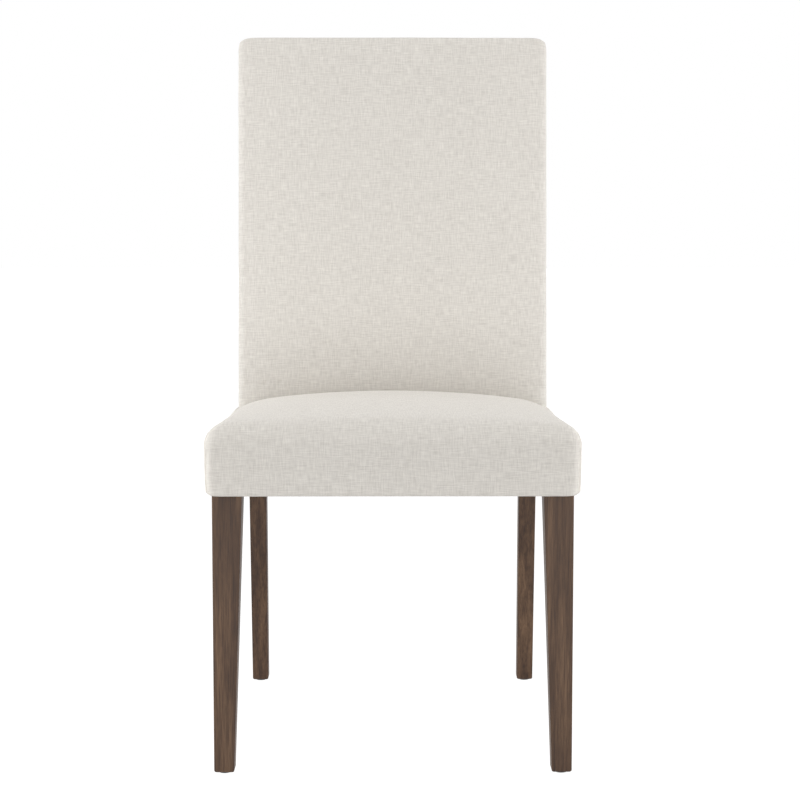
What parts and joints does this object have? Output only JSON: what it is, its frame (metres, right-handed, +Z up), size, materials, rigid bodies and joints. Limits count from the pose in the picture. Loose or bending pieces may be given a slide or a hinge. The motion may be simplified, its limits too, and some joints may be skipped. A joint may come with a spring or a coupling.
{
  "type": "parsons chair",
  "caption": "Armless dining chair with a fully upholstered seat and tall back on square tapered dark wood legs.",
  "frame": {"origin": "on the floor, under the centre of the chair's bounding box", "axes": "+Z up, +X to the right seen from the front, -Y towards the chair's front"},
  "size_m": [0.4966, 0.5616, 1.0191],
  "materials": {
    "walnut": "satin",
    "frame_wood": "matte",
    "linen": "matte",
    "foam": "matte",
    "batting": "matte",
    "webbing": "matte",
    "lining": "matte",
    "black_cloth": "matte",
    "board": "matte",
    "steel": "satin",
    "nylon": "matte"
  },
  "bodies": {
    "root": {"front_leg_left": "walnut", "front_leg_right": "walnut", "rear_leg_left": "walnut", "rear_leg_right": "walnut", "front_rail": "frame_wood", "rear_rail": "frame_wood", "side_rail_left": "frame_wood", "side_rail_right": "frame_wood", "back_top_rail": "frame_wood", "back_middle_rail": "frame_wood", "back_lower_rail": "frame_wood", "corner_block_front_left": "frame_wood", "corner_block_front_right": "frame_wood", "corner_block_rear_left": "frame_wood", "corner_block_rear_right": "frame_wood", "front_rail_dowels": "frame_wood", "side_rail_dowels": "frame_wood", "rear_rail_dowels": "frame_wood", "back_rail_dowels": "frame_wood", "seat_cover": "linen", "back_cover": "linen", "outside_back_cover": "linen", "seat_foam": "foam", "back_foam": "foam", "front_rail_padding": "foam", "side_rail_padding_left": "foam", "side_rail_padding_right": "foam", "seat_batting": "batting", "back_batting": "batting", "seat_webbing_lengthwise": "webbing", "seat_webbing_crosswise": "webbing", "back_webbing": "webbing", "seat_lining": "lining", "back_lining": "lining", "dust_cover": "black_cloth", "outside_back_board": "board", "side_rail_screws": "steel", "corner_block_screws": "steel", "leg_bolts": "steel", "leg_bolt_washers": "steel", "leg_bolt_nuts": "steel", "seat_webbing_staples": "steel", "back_webbing_staples": "steel", "dust_cover_staples": "steel", "glide_front_left": "nylon", "glide_front_right": "nylon", "glide_rear_left": "nylon", "glide_rear_right": "nylon"}
  },
  "joints": []
}
